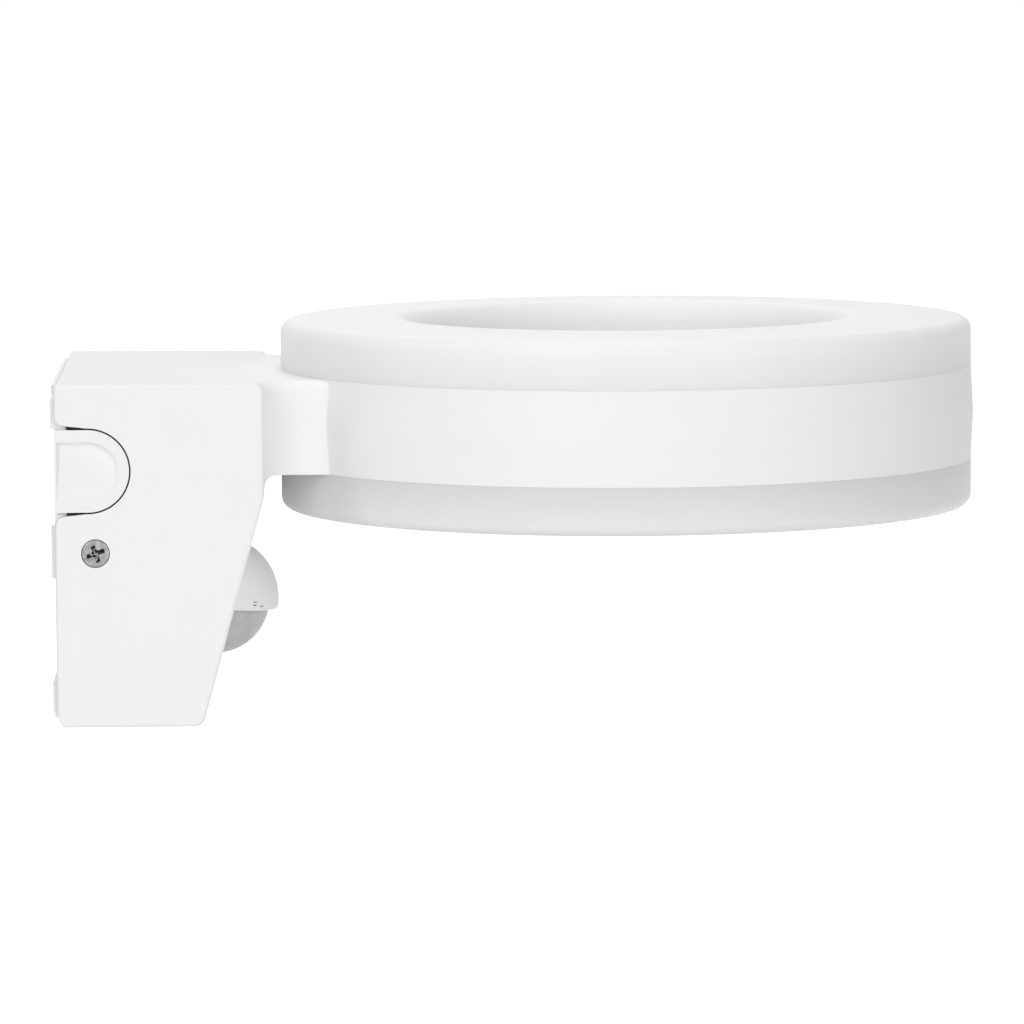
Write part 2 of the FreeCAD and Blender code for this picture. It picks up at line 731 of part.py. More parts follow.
def tongue_scoop(body, side):
    """Scooped recess in a tongue's outer face: a round end and a trough, deepest above."""
    radius = "(tongue_height / 2 - scoop_inset)"
    centre = "(tongue_reach - tongue_height / 2)"
    steep = "sqrt(1 + scoop_slope^2)"
    across = f"{side} * ({HALF_WIDTH} - {radius} * scoop_slope / {steep})"
    up = f"({TONGUE_UP} - scoop_drop - {radius} + {radius} / {steep})"
    tilt = f"{side} * atan(scoop_slope)"
    bottom = f"({radius} - scoop_round)"
    edge = f"{side} * scoop_round"
    mouth = f"{side} * scoop_reach"

    dish = sketch_on(body, f"ScoopEnd{SIDE_NAMES[side]}", "XY_Plane", (centre, across, up))
    turn(dish, (1, 0, 0), tilt)
    rim = [(bottom, "0", "scoop_round", -side), (radius, edge), (radius, mouth)]
    outline(dish, [("0", mouth), ("0", "0"), *rim])
    revolve(body, dish, kind="Groove")

    trough = sketch_on(body, f"ScoopTrough{SIDE_NAMES[side]}", "YZ_Plane", (across, up, centre))
    turn(trough, (0, 0, 1), tilt)
    lower = [(mouth, f"-{radius}"), (edge, f"-{radius}", "scoop_round", side), ("0", f"-{bottom}")]
    upper = [("0", bottom, "scoop_round", side), (edge, radius), (mouth, radius)]
    outline(trough, lower + upper)
    pocket(body, trough, f"{centre} - foot_height - scoop_lip")


def wall_plate():
    """Rear plate with feet, a rim, screw lugs and the two cable entry tongues."""
    body = new_body("wall_plate")
    plate = sketch_on(body, "Plate", "YZ_Plane", ("0", "0", "foot_height"))
    rectangle(plate, f"-{PLATE_WIDTH}", f"-{PLATE_HEIGHT}", PLATE_WIDTH, PLATE_HEIGHT)
    pad(body, plate, "plate_thickness")
    rounded(body, "PlateCorners", lambda edge: along(edge, "x"), "plate_corner")

    rim = sketch_on(body, "PlateRim", "YZ_Plane", ("0", "0", PLATE_FRONT))
    rectangle(rim, f"-{RIM_WIDTH}", f"-{RIM_HEIGHT}", RIM_WIDTH, RIM_HEIGHT)
    inner_width = f"({RIM_WIDTH} - rim_thickness)"
    inner_height = f"({RIM_HEIGHT} - rim_thickness)"
    rectangle(rim, f"-{inner_width}", f"-{inner_height}", inner_width, inner_height)
    pad(body, rim, "rim_height")

    for side in (-1, 1):
        tongue = side_sketch(body, "Tongue", side, HALF_WIDTH)
        tongue_outline(tongue, "foot_height", "0")
        inward_pad(body, tongue, side, f"{HALF_WIDTH} - {inner_width}")
        tongue_scoop(body, side)
        lug = side_sketch(body, "ScrewLug", side, PLATE_WIDTH)
        low = f"{SIDE_SCREW_UP} - lug_height / 2"
        rectangle(lug, PLATE_FRONT, low, "side_screw_out + lug_margin", f"{low} + lug_height")
        inward_pad(body, lug, side, "lug_depth")
        pilot = side_sketch(body, "LugPilot", side, PLATE_WIDTH)
        circle(pilot, "side_screw_out", SIDE_SCREW_UP, "side_screw_radius + screw_clearance")
        inward_pocket(body, pilot, side, "lug_depth")

    feet = sketch_on(body, "Feet", "YZ_Plane")
    circle(feet, "0", "0", "centre_foot_radius")
    foot_rows = [
        (f"(foot_inset - {PLATE_HEIGHT})", "corner_foot_height"),
        (f"({SIDE_SCREW_UP} - side_foot_height / 2)", "side_foot_height"),
        (f"({PLATE_HEIGHT} - foot_inset - corner_foot_height)", "corner_foot_height"),
    ]
    for low, height in foot_rows:
        rectangle(feet, f"-{PLATE_WIDTH}", low, f"foot_width - {PLATE_WIDTH}", f"{low} + {height}")
        rectangle(feet, f"{PLATE_WIDTH} - foot_width", low, PLATE_WIDTH, f"{low} + {height}")
    edge_half = f"({PLATE_WIDTH} - foot_width - foot_spacing)"
    edge_low = f"({PLATE_HEIGHT} - foot_inset - corner_foot_height)"
    edge_high = f"({HALF_HEIGHT} - foot_inset)"
    rectangle(feet, f"-{edge_half}", edge_low, edge_half, edge_high)
    rectangle(feet, f"-{edge_half}", f"-{edge_high}", edge_half, f"-{edge_low}")
    pad(body, feet, "foot_height")

    holes = sketch_on(body, "WallHoles", "YZ_Plane")
    for across, up in DIAGONALS:
        hole_side = f"{across} * wall_hole_pitch_wide / 2"
        hole_up = f"{up} * wall_hole_pitch_tall / 2"
        circle(holes, hole_side, hole_up, "wall_hole_radius")
    circle(holes, "0", TONGUE_UP, "cable_hole_radius")
    pocket(body, holes, f"2 * {PLATE_FRONT}", midplane=True)

    pilots = sketch_on(body, "TerminalPilots", "YZ_Plane", ("0", "0", PLATE_FRONT))
    for across in (-1, 1):
        circle(pilots, f"{across} * {TERMINAL_SCREW}", TERMINAL_MIDDLE, PILOT)
    pocket(body, pilots, "small_screw_length - terminal_ear_thickness")


def rear_grommet():
    """Rubber bush in the plate's cable hole."""
    body = new_body("rear_grommet")
    neck = "(cable_hole_radius - grommet_fit)"
    flange = "(cable_hole_radius + grommet_flange)"
    seat = PLATE_FRONT
    face = f"({PLATE_FRONT} + grommet_flange_thickness)"
    tip = f"({face} + grommet_nose)"
    section = sketch_on(body, "GrommetSection", "XZ_Plane")
    outline(
        section,
        [
            ("foot_height", "cable_radius"),
            (tip, "cable_radius"),
            (tip, "cable_radius + grommet_lip"),
            (face, neck),
            (face, flange),
            (seat, flange),
            (seat, neck),
            ("foot_height", neck),
        ],
    )
    revolve(body, section, "H_Axis")
    place(body, up=TONGUE_UP)


def housing_seal():
    """Rubber strips round the plate's rim: one over the top and round the tongues, one below the lugs."""
    body = new_body("housing_seal")
    strip = sketch_on(body, "SealFrame", "YZ_Plane", ("0", "0", PLATE_FRONT))
    seal_width = f"({INNER_WIDTH} - box_seal_gap)"
    seal_height = f"({INNER_HEIGHT} - box_seal_gap)"
    rectangle(strip, f"-{seal_width}", f"-{seal_height}", seal_width, seal_height)
    rectangle(strip, f"-{RIM_WIDTH}", f"-{RIM_HEIGHT}", RIM_WIDTH, RIM_HEIGHT)
    pad(body, strip, "box_seal_height")
    gap = sketch_on(body, "SealBreak", "XZ_Plane")
    low = f"{SIDE_SCREW_UP} - lug_height / 2 - plate_fit"
    high = f"{TONGUE_UP} + tongue_height / 2 + plate_fit"
    rectangle(gap, "0", low, f"{PLATE_FRONT} + 2 * box_seal_height", high)
    pocket(body, gap, "2 * housing_width", midplane=True)
    for side in (-1, 1):
        loop = side_sketch(body, "TongueSeal", side, seal_width)
        tongue_outline(loop, PLATE_FRONT, "box_seal_height")
        inward_pad(body, loop, side, f"{seal_width} - {RIM_WIDTH}")
        eye = side_sketch(body, "TongueSealEye", side, seal_width)
        tongue_outline(eye, PLATE_FRONT, "box_seal_gap")
        inward_pocket(body, eye, side, f"{seal_width} - {RIM_WIDTH}")


def side_screws():
    """Cross-recess screws through the box's sides into the plate's lugs."""
    body = new_body("side_screws")
    face = number(HALF_WIDTH)

    def head_edge(side):
        return lambda edge: all(near(corner.Point.y, side * face) for corner in edge.Vertexes)

    for side in (-1, 1):
        head = side_sketch(body, "SideHead", side, HALF_WIDTH)
        circle(head, "side_screw_out", SIDE_SCREW_UP, "side_head_radius")
        inward_pad(body, head, side, "side_head_height")
        rounded(body, f"SideHeadRound{SIDE_NAMES[side]}", head_edge(side), "side_head_round")
        shank = side_sketch(body, "SideShank", side, f"({HALF_WIDTH} - side_head_height)")
        circle(shank, "side_screw_out", SIDE_SCREW_UP, "side_screw_radius")
        inward_pad(body, shank, side, "side_screw_length")
        for name, angle in (("CrossAlong", "cross_turn"), ("CrossOver", "cross_turn + 90")):
            slot = side_sketch(body, name, side, HALF_WIDTH)
            turn(slot, (0, 0, 1), angle)
            bind(slot, "AttachmentOffset.Base.x", "side_screw_out")
            bind(slot, "AttachmentOffset.Base.y", SIDE_SCREW_UP)
            rectangle(slot, "-cross_length / 2", "-cross_width / 2", "cross_length / 2", "cross_width / 2")
            inward_pocket(body, slot, side, "cross_depth")
        centre = side_sketch(body, "CrossCentre", side, HALF_WIDTH)
        circle(centre, "side_screw_out", SIDE_SCREW_UP, "cross_centre_radius")
        inward_pocket(body, centre, side, "cross_centre_depth")


def on_ring(body, upper):
    """Set a piece of the ring on the band's top edge, or turned over below its bottom edge."""
    if upper:
        place(body, out=RING_REACH, up=BAND_TOP)
    else:
        place(body, out=RING_REACH, up=BAND_BOTTOM, axis=(1, 0, 0), turn="180")


def diffuser(name, upper):
    """Frosted ring cover with a crowned face and two skirts that stand in the channel."""
    body = new_body(name)
    outside = "(ring_radius - band_bulge)"
    inside = HOLE_RADIUS
    face = "diffuser_height"
    roof = f"({face} - diffuser_wall)"
    outer_skirt = f"({CHANNEL_OUTER} - skirt_gap)"
    inner_skirt = f"({CHANNEL_INNER} + skirt_gap)"
    section = sketch_on(body, f"{name}Section", "XZ_Plane")
    outline(
        section,
        [
            (outside, "0"),
            (outside, face, "crown_radius", -1),
            (inside, f"{face} + crown_height"),
            (inside, "0"),
            (inner_skirt, "0"),
            (inner_skirt, "-skirt_depth"),
            (f"{inner_skirt} + skirt_thickness", "-skirt_depth"),
            (f"{inner_skirt} + skirt_thickness", roof),
            (f"{outer_skirt} - skirt_thickness", roof),
            (f"{outer_skirt} - skirt_thickness", "-skirt_depth"),
            (outer_skirt, "-skirt_depth"),
            (outer_skirt, "0"),
        ],
    )
    revolve(body, section)
    rim = number(outside)
    hole = number(inside)

    def ring_edge(radius, height):
        def found(edge):
            high = near(edge.BoundBox.ZMax, number(height)) and near(edge.BoundBox.ZMin, number(height))
            return high and near(edge.BoundBox.XMax, radius)
        return found

    rounded(body, f"{name}Rim", ring_edge(rim, face), "rim_round")
    rounded(body, f"{name}Hole", ring_edge(hole, f"{face} + crown_height"), "hole_round")
    on_ring(body, upper)


def diffuser_seals(name, upper):
    """Flat rubber rings between the skirts and the ledges of the channel."""
    body = new_body(name)
    section = sketch_on(body, f"{name}Section", "XZ_Plane")
    for edge in (f"({CHANNEL_INNER} + skirt_gap)", f"({CHANNEL_OUTER} - skirt_gap - skirt_thickness)"):
        low = "-skirt_depth - seal_thickness"
        rectangle(section, edge, low, f"{edge} + skirt_thickness", "-skirt_depth")
    revolve(body, section)
    on_ring(body, upper)


def led_board(name, upper):
    """Ring-shaped board on the channel's web."""
    body = new_body(name)
    board = sketch_on(body, f"{name}Outline", "XY_Plane", ("0", "0", BOARD_SEAT))
    circle(board, "0", "0", BOARD_OUTER)
    circle(board, "0", "0", BOARD_INNER)
    for spot in BOARD_SCREWS:
        circle(board, *spot, PILOT)
    pad(body, board, "board_thickness")
    on_ring(body, upper)


def leds(name, upper):
    """Light sources evenly round the board."""
    body = new_body(name)
    chip = sketch_on(body, f"{name}Chip", "XY_Plane", ("0", "0", BOARD_FACE))
    inner_edge = f"(({BOARD_OUTER} + {BOARD_INNER}) / 2 - led_width / 2)"
    rectangle(chip, inner_edge, "-led_length / 2", f"{inner_edge} + led_width", "led_length / 2")
    pattern(body, pad(body, chip, "led_height"), "Z_Axis", "led_count")
    on_ring(body, upper)


def led_board_screws():
    """Three screws through each board into the web."""
    body = new_body("led_board_screws")
    board = "(web_thickness / 2 + board_thickness)"
    for sign, name in ((1, "Upper"), (-1, "Lower")):
        spots = [(x, f"{sign} * {y}") for x, y in BOARD_SCREWS]
        head = sketch_on(body, f"{name}BoardHead", "XY_Plane", ("0", "0", f"{sign} * {board}"))
        shank = sketch_on(body, f"{name}BoardShank", "XY_Plane", ("0", "0", f"{sign} * {board}"))
        for spot in spots:
            circle(head, *spot, "small_head_radius")
            circle(shank, *spot, "small_screw_radius")
        pad(body, head, "small_head_height", reversed=sign < 0)
        pad(body, shank, "board_thickness + web_thickness", reversed=sign > 0)
    place(body, out=RING_REACH, up=BAND_MIDDLE)


def led_lead(name, upper):
    """Two-core lead from the power supply through the neck to its plug on the board."""
    body = new_body(name)
    plug_end = f"(plug_setback - {BOARD_OUTER})"
    plug = sketch_on(body, f"{name}Plug", "XY_Plane", ("0", "0", BOARD_FACE))
    rectangle(plug, plug_end, "-plug_width / 2", f"{plug_end} + plug_length", "plug_width / 2")
    pad(body, plug, "plug_height")
    height = f"({BOARD_FACE} + lead_clearance + lead_radius)"
    cores = sketch_on(body, f"{name}Cores", "YZ_Plane", ("0", "0", f"{DRIVER_FRONT} - {RING_REACH}"))
    for side in (-1, 1):
        circle(cores, f"{side} * lead_spacing / 2", height, "lead_radius")
    pad(body, cores, f"{plug_end} + {RING_REACH} - {DRIVER_FRONT}")
    on_ring(body, upper)


def led_driver():
    """Power supply in its case, with an ear at each end."""
    body = new_body("led_driver")
    case = sketch_on(body, "DriverCase", "YZ_Plane", ("0", "0", DRIVER_BACK))
    rectangle(case, "-driver_width / 2", DRIVER_BOTTOM, "driver_width / 2", DRIVER_TOP)
    pad(body, case, "driver_depth")
    rounded(body, "DriverRound", lambda edge: along(edge, "x"), "driver_round")
    ears = sketch_on(body, "DriverEars", "XY_Plane", ("0", "0", f"{DRIVER_TOP} - driver_round"))
    reach = "(driver_width / 2 + driver_ear)"
    low = f"{DRIVER_SCREW_OUT} - driver_ear / 2"
    rectangle(ears, low, f"-{reach}", f"{low} + driver_ear", reach)
    pad(body, ears, "driver_ear_thickness", reversed=True)
    holes = sketch_on(body, "DriverEarHoles", "XY_Plane", ("0", "0", DRIVER_TOP))
    for across in (-1, 1):
        circle(holes, DRIVER_SCREW_OUT, f"{across} * {DRIVER_SCREW}", PILOT)
    pocket(body, holes, "driver_round + driver_ear_thickness")


def screws(name, plane, seat, spots, length, turned=False):
    """Small round-headed screws on one plane: heads on the far side of seat, shanks through it."""
    body = new_body(name)
    head = sketch_on(body, f"{name}Heads", plane, ("0", "0", seat))
    shank = sketch_on(body, f"{name}Shanks", plane, ("0", "0", seat))
    for spot in spots:
        circle(head, *spot, "small_head_radius")
        circle(shank, *spot, "small_screw_radius")
    pad(body, head, "small_head_height", reversed=turned)
    pad(body, shank, length, reversed=not turned)
    return body


def box_screws():
    """Screws of the power supply, the terminals, the dials' board and the sensor's retainer."""
    driver_spots = [(DRIVER_SCREW_OUT, f"{across} * {DRIVER_SCREW}") for across in (-1, 1)]
    driver_seat = f"({DRIVER_TOP} - driver_round - driver_ear_thickness)"
    driver_length = "driver_round + driver_ear_thickness + small_screw_bite"
    screws("driver_screws", "XY_Plane", driver_seat, driver_spots, driver_length, turned=True)
    terminal_spots = [(f"{across} * {TERMINAL_SCREW}", TERMINAL_MIDDLE) for across in (-1, 1)]
    terminal_seat = f"({PLATE_FRONT} + terminal_ear_thickness)"
    terminal_length = "terminal_ear_thickness + small_screw_bite"
    screws("terminal_mount_screws", "YZ_Plane", terminal_seat, terminal_spots, terminal_length)
    control_spots = [("dial_from_wall", f"{across} * control_post_spacing / 2") for across in (-1, 1)]
    control_seat = f"({POT_TOP} + board_thickness)"
    control_length = "board_thickness + small_screw_bite"
    screws("control_board_screws", "XY_Plane", control_seat, control_spots, control_length)
    ear_spots = [(f"{across} * {EAR_SIDE}", f"{up} * {EAR_SIDE}") for across, up in DIAGONALS]
    ear_length = "retainer_ear_thickness + small_screw_bite"
    body = screws("retainer_screws", "YZ_Plane", RETAINER_BACK, ear_spots, ear_length, turned=True)
    on_face(body)


def terminal_block():
    """Three-pole terminal with a screw ear at each end."""
    body = new_body("terminal_block")
    half = "(terminal_width / 2)"
    top = f"({TERMINAL_BOTTOM} + terminal_height)"
    block = sketch_on(body, "TerminalBlock", "YZ_Plane", ("0", "0", PLATE_FRONT))
    rectangle(block, f"-{half}", TERMINAL_BOTTOM, half, top)
    pad(body, block, "terminal_depth")
    ears = sketch_on(body, "TerminalEars", "YZ_Plane", ("0", "0", PLATE_FRONT))
    ear_low = f"{TERMINAL_MIDDLE} - terminal_ear / 2"
    ear_half = f"({half} + terminal_ear)"
    rectangle(ears, f"-{ear_half}", ear_low, ear_half, f"{ear_low} + terminal_ear")
    pad(body, ears, "terminal_ear_thickness")
    ear_holes = sketch_on(body, "TerminalEarHoles", "YZ_Plane", ("0", "0", PLATE_FRONT))
    for across in (-1, 1):
        circle(ear_holes, f"{across} * {TERMINAL_SCREW}", TERMINAL_MIDDLE, PILOT)
    pocket(body, ear_holes, "terminal_ear_thickness", reversed=True)
    wells = sketch_on(body, "TerminalWells", "YZ_Plane", ("0", "0", f"{PLATE_FRONT} + terminal_depth"))
    wires = sketch_on(body, "TerminalWires", "XY_Plane", ("0", "0", TERMINAL_MIDDLE))
    for pole in (-1, 0, 1):
        circle(wells, f"{pole} * terminal_pitch", TERMINAL_MIDDLE, "terminal_screw_radius + screw_clearance")
        circle(wires, LEAD_COLUMN, f"{pole} * terminal_pitch", "supply_lead_radius + lead_clearance")
    pocket(body, wells, "terminal_well_depth")
    pocket(body, wires, "2 * terminal_height", midplane=True)


def terminal_screws():
    """Slotted clamp screws at the bottom of the terminal's wells."""
    body = new_body("terminal_screws")
    floor = f"({PLATE_FRONT} + terminal_depth - terminal_well_depth)"
    heads = sketch_on(body, "ClampScrews", "YZ_Plane", ("0", "0", floor))
    slots = sketch_on(body, "ClampSlots", "YZ_Plane", ("0", "0", f"{floor} + terminal_screw_length"))
    for pole in (-1, 0, 1):
        centre = f"{pole} * terminal_pitch"
        circle(heads, centre, TERMINAL_MIDDLE, "terminal_screw_radius")
        low = f"{TERMINAL_MIDDLE} - cross_width / 2"
        side = "terminal_screw_radius"
        rectangle(slots, f"{centre} - {side}", low, f"{centre} + {side}", f"{low} + cross_width")
    pad(body, heads, "terminal_screw_length")
    pocket(body, slots, "cross_depth")


def supply_leads():
    """Two leads that rise from the terminals and bend into the back of the power supply."""
    body = new_body("supply_leads")
    bend = f"({DRIVER_BACK} - {LEAD_COLUMN})"
    foot = f"({TERMINAL_BOTTOM} + 3 * terminal_height / 4)"
    for side in (-1, 1):
        across = f"{side} * terminal_pitch"
        path = side_sketch(body, "SupplyPath", side, "terminal_pitch")
        corner = f"({DRIVER_MIDDLE} - {bend})"
        open_route(path, [(LEAD_COLUMN, foot), (LEAD_COLUMN, corner, bend, 1), (DRIVER_BACK, DRIVER_MIDDLE)])
        section = sketch_on(body, f"SupplySection{SIDE_NAMES[side]}", "XY_Plane", ("0", "0", foot))
        circle(section, LEAD_COLUMN, across, "supply_lead_radius")
        pipe = body.newObject("PartDesign::AdditivePipe", f"SupplyLead{SIDE_NAMES[side]}")
        pipe.Profile = section
        pipe.Spine = (path, [])
        doc.recompute()


def control_board():
    """Board above the dials, on two posts."""
    body = new_body("control_board")
    half = "(control_width / 2)"
    low = "dial_from_wall - control_depth / 2"
    board = sketch_on(body, "ControlOutline", "XY_Plane", ("0", "0", POT_TOP))
    rectangle(board, low, f"-{half}", f"{low} + control_depth", half)
    for across in (-1, 1):
        circle(board, "dial_from_wall", f"{across} * control_post_spacing / 2", PILOT)
    pad(body, board, "board_thickness")


def dial_potentiometers():
    """One potentiometer round each dial's shaft, below the board."""
    body = new_body("dial_potentiometers")
    base = sketch_on(body, "PotOutlines", "XY_Plane", ("0", "0", f"{POT_TOP} - pot_height"))
    low = "dial_from_wall - pot_size / 2"
    for across in (-1, 0, 1):
        side = f"{across} * dial_pitch - pot_size / 2"
        rectangle(base, low, side, f"{low} + pot_size", f"{side} + pot_size")
    dial_circles(base, "dial_shaft_radius + dial_fit")
    pad(body, base, "pot_height")


def control_leads():
    """Leads from the power supply straight down to the dials' board."""
    body = new_body("control_leads")
    ends = sketch_on(body, "ControlLeadEnds", "XY_Plane", ("0", "0", f"{POT_TOP} + board_thickness"))
    for across in (-1, 1):
        circle(ends, "dial_from_wall", f"{across} * (control_width / 2 - lead_spacing / 2)", "lead_radius")
    pad(body, ends, f"{DRIVER_BOTTOM} - {POT_TOP} - board_thickness")


def dial(name, across):
    """Setting dial: slotted head in its recess below, shaft up into its potentiometer."""
    body = new_body(name)
    head = sketch_on(body, f"{name}Head", "XY_Plane")
    circle(head, "0", "0", "dial_head_radius")
    pad(body, head, "dial_head_height")
    shaft = sketch_on(body, f"{name}Shaft", "XY_Plane", ("0", "0", "dial_head_height"))
    circle(shaft, "0", "0", "dial_shaft_radius")
    pad(body, shaft, "housing_wall - dial_head_height + dial_boss_height + pot_height / 2")
    slot = sketch_on(body, f"{name}Slot", "XY_Plane")
    rectangle(slot, "-dial_head_radius", "-dial_slot_width / 2", "dial_slot_reach", "dial_slot_width / 2")
    pocket(body, slot, "dial_slot_depth", reversed=True)
    place(body, out="dial_from_wall", across=f"{across} * dial_pitch", up=f"-{HALF_HEIGHT}")


def on_face(body):
    """Set a piece square to the leaning front, round the ball's centre."""
    place(body, out=BALL_OUT, up=SENSOR_UP, axis=(0, 1, 0), turn=f"atan({LEAN})")


def in_ball(body):
    """Set a piece in the sensor ball, which looks a little below level."""
    place(body, out=BALL_OUT, up=SENSOR_UP, axis=(0, 1, 0), turn="hood_pitch")


def sensor_hood():
    """White shade over the upper half of the ball."""
    body = new_body("sensor_hood")
    inner = "(ball_radius - hood_thickness)"
    section = sketch_on(body, "HoodSection", "XZ_Plane")
    outline(
        section,
        [
            ("-dome_back", "sqrt(ball_radius^2 - dome_back^2)", "ball_radius", 1),
            ("ball_radius", "0"),
            (inner, "0", inner, -1),
            ("-dome_back", f"sqrt({inner}^2 - dome_back^2)"),
        ],
    )
    revolve(body, section, "H_Axis")
    below = sketch_on(body, "HoodBelow", "XZ_Plane")
    rectangle(below, "-2 * ball_radius", "-2 * ball_radius", "2 * ball_radius", "-hood_drop")
    pocket(body, below, "4 * ball_radius", midplane=True)
    lip = number("-hood_drop")

    def lip_edge(edge):
        return all(near(corner.Point.z, lip) for corner in edge.Vertexes) and not along(edge, "y")

    rounded(body, "HoodLip", lip_edge, "hood_lip")
    slits = sketch_on(body, "HoodSlits", "XZ_Plane")
    for out, up in (("0", "0"), ("slit_step", "slit_drop"), ("0", "slit_drop + slit_height")):
        low_x = f"(slit_out + {out} - slit_length / 2)"
        low_z = f"(slit_up - {up} - slit_height / 2)"
        rectangle(slits, low_x, low_z, f"{low_x} + slit_length", f"{low_z} + slit_height")
    pocket(body, slits, "4 * ball_radius", midplane=True)
    in_ball(body)


def sensor_lens():
    """Lens dome of upright facets, open above and behind."""
    body = new_body("sensor_lens")
    count = SIZES["lens_facets"]
    turns = [2 * pi * (facet + 0.5) / count for facet in range(count)]
    rows = []
    for height in ("lens_brim", "-lens_row_high", "-lens_row_middle", "-lens_row_low", "-lens_row_foot"):
        middle = ("-lens_shift", "0", f"{height} - lens_shift")
        row = sketch_on(body, f"LensRow{len(rows)}", "XY_Plane", middle)
        reach = f"sqrt(lens_radius^2 - ({height})^2)"
        outline(row, [(f"{reach} * {cos(turn):.6f}", f"{reach} * {sin(turn):.6f}") for turn in turns])
        rows.append(row)
    facets = body.newObject("PartDesign::AdditiveLoft", "LensFacets")
    facets.Profile = rows[0]
    facets.Sections = rows[1:]
    facets.Ruled = False
    hollow = body.newObject("PartDesign::SubtractiveSphere", "LensHollow")
    bind(hollow, "Radius", "lens_radius - lens_thickness")
    bind(hollow, "Placement.Base.x", "-lens_shift")
    bind(hollow, "Placement.Base.z", "-lens_shift")
    behind = sketch_on(body, "LensBehind", "YZ_Plane", ("0", "0", "-dome_back"))
    rectangle(behind, "-ball_radius", "-ball_radius", "ball_radius", "ball_radius")
    pocket(body, behind, "2 * ball_radius")
    in_ball(body)


def sensor_back_shell():
    """Rear of the ball, which the hood and the lens stand on."""
    body = new_body("sensor_back_shell")
    inner = "(ball_radius - shell_thickness)"
    section = sketch_on(body, "BackShell", "XZ_Plane")
    outline(
        section,
        [
            ("-dome_back", f"sqrt({inner}^2 - dome_back^2)", inner, -1),
            (f"-{inner}", "0"),
            ("-ball_radius", "0", "ball_radius", 1),
            ("-dome_back", "sqrt(ball_radius^2 - dome_back^2)"),
        ],
    )
    revolve(body, section, "H_Axis")
    exit_hole = sketch_on(body, "SensorLeadExit", "YZ_Plane")
    circle(exit_hole, "0", "0", "sensor_exit_radius")
    pocket(body, exit_hole, "2 * ball_radius")
    in_ball(body)


def sensor_board():
    """Round board in the mouth of the rear shell."""
    body = new_body("sensor_board")
    back = "(dome_back + sensor_board_thickness)"
    disc = sketch_on(body, "SensorDisc", "YZ_Plane", ("0", "0", f"-{back}"))
    circle(disc, "0", "0", f"sqrt((ball_radius - shell_thickness)^2 - {back}^2) - sensor_board_gap")
    pad(body, disc, "sensor_board_thickness")
    in_ball(body)


def pyro_detector():
    """Round metal can of the heat detector on its flange."""
    body = new_body("pyro_detector")
    flange = sketch_on(body, "PyroFlange", "YZ_Plane", ("0", "0", "-dome_back"))
    circle(flange, "0", "0", "pyro_flange_radius")
    pad(body, flange, "pyro_flange_height")
    can = sketch_on(body, "PyroCan", "YZ_Plane", ("0", "0", "-dome_back"))
    circle(can, "0", "0", "pyro_radius")
    pad(body, can, "pyro_height")
    in_ball(body)


def sensor_cradle():
    """Strap round the back of the ball, with a pivot pin above and below."""
    body = new_body("sensor_cradle")
    strap = sketch_on(body, "Strap", "XZ_Plane")
    outline(
        strap,
        [
            ("0", STRAP_OUTER, STRAP_OUTER, -1),
            (f"-{STRAP_OUTER}", "0", STRAP_OUTER, -1),
            ("0", f"-{STRAP_OUTER}"),
            ("0", f"-{SEAT_RADIUS}", SEAT_RADIUS, 1),
            (f"-{SEAT_RADIUS}", "0", SEAT_RADIUS, 1),
            ("0", SEAT_RADIUS),
        ],
    )
    pad(body, strap, "strap_width", midplane=True)
    for sign, name in ((1, "Upper"), (-1, "Lower")):
        root = f"{sign} * ({STRAP_OUTER} - strap_thickness / 2)"
        pin = sketch_on(body, f"{name}Pivot", "XY_Plane", ("0", "0", root))
        circle(pin, "0", "0", "pivot_radius")
        pad(body, pin, "strap_thickness / 2 + pivot_length", reversed=sign < 0)
    on_face(body)


def sensor_retainer():
    """Ring behind the front wall that carries the cradle's pins."""
    body = new_body("sensor_retainer")
    ring = sketch_on(body, "RetainerRing", "YZ_Plane", ("0", "0", RETAINER_BACK))
    circle(ring, "0", "0", RETAINER_OUTER)
    pad(body, ring, "retainer_depth")
    ears = sketch_on(body, "RetainerEars", "YZ_Plane", ("0", "0", RETAINER_BACK))
    ear_circles(ears, "retainer_ear_radius")
    pad(body, ears, "retainer_ear_thickness")
    ear_holes = sketch_on(body, "RetainerEarHoles", "YZ_Plane", ("0", "0", RETAINER_BACK))
    ear_circles(ear_holes, PILOT)
    pocket(body, ear_holes, "retainer_ear_thickness", reversed=True)
    ear_front = f"{RETAINER_BACK} + retainer_ear_thickness"
    stand_clear = sketch_on(body, "PostClearance", "YZ_Plane", ("0", "0", ear_front))
    ear_circles(stand_clear, "retainer_ear_radius + retainer_gap")
    pocket(body, stand_clear, "retainer_depth", reversed=True)
    eye = sketch_on(body, "RetainerEye", "YZ_Plane", ("0", "0", RETAINER_BACK))
    circle(eye, "0", "0", RETAINER_INNER)
    pocket(body, eye, "retainer_depth", reversed=True)
    pivots = sketch_on(body, "PivotHoles", "XY_Plane")
    circle(pivots, "0", "0", "pivot_radius + pivot_fit")
    pocket(body, pivots, f"4 * {RETAINER_OUTER}", midplane=True)
    on_face(body)


housing()
wall_plate()
rear_grommet()
housing_seal()
side_screws()
for level in ("upper", "lower"):
    diffuser(f"{level}_diffuser", level == "upper")
    diffuser_seals(f"{level}_diffuser_seals", level == "upper")
    led_board(f"{level}_led_board", level == "upper")
    leds(f"{level}_leds", level == "upper")
    led_lead(f"{level}_led_lead", level == "upper")
led_board_screws()
led_driver()
box_screws()
terminal_block()
terminal_screws()
supply_leads()
control_board()
dial_potentiometers()
control_leads()
for dial_name, dial_side in (("time_dial", -1), ("twilight_dial", 0), ("range_dial", 1)):
    dial(dial_name, dial_side)
sensor_hood()
sensor_lens()
sensor_back_shell()
sensor_board()
pyro_detector()
sensor_cradle()
sensor_retainer()

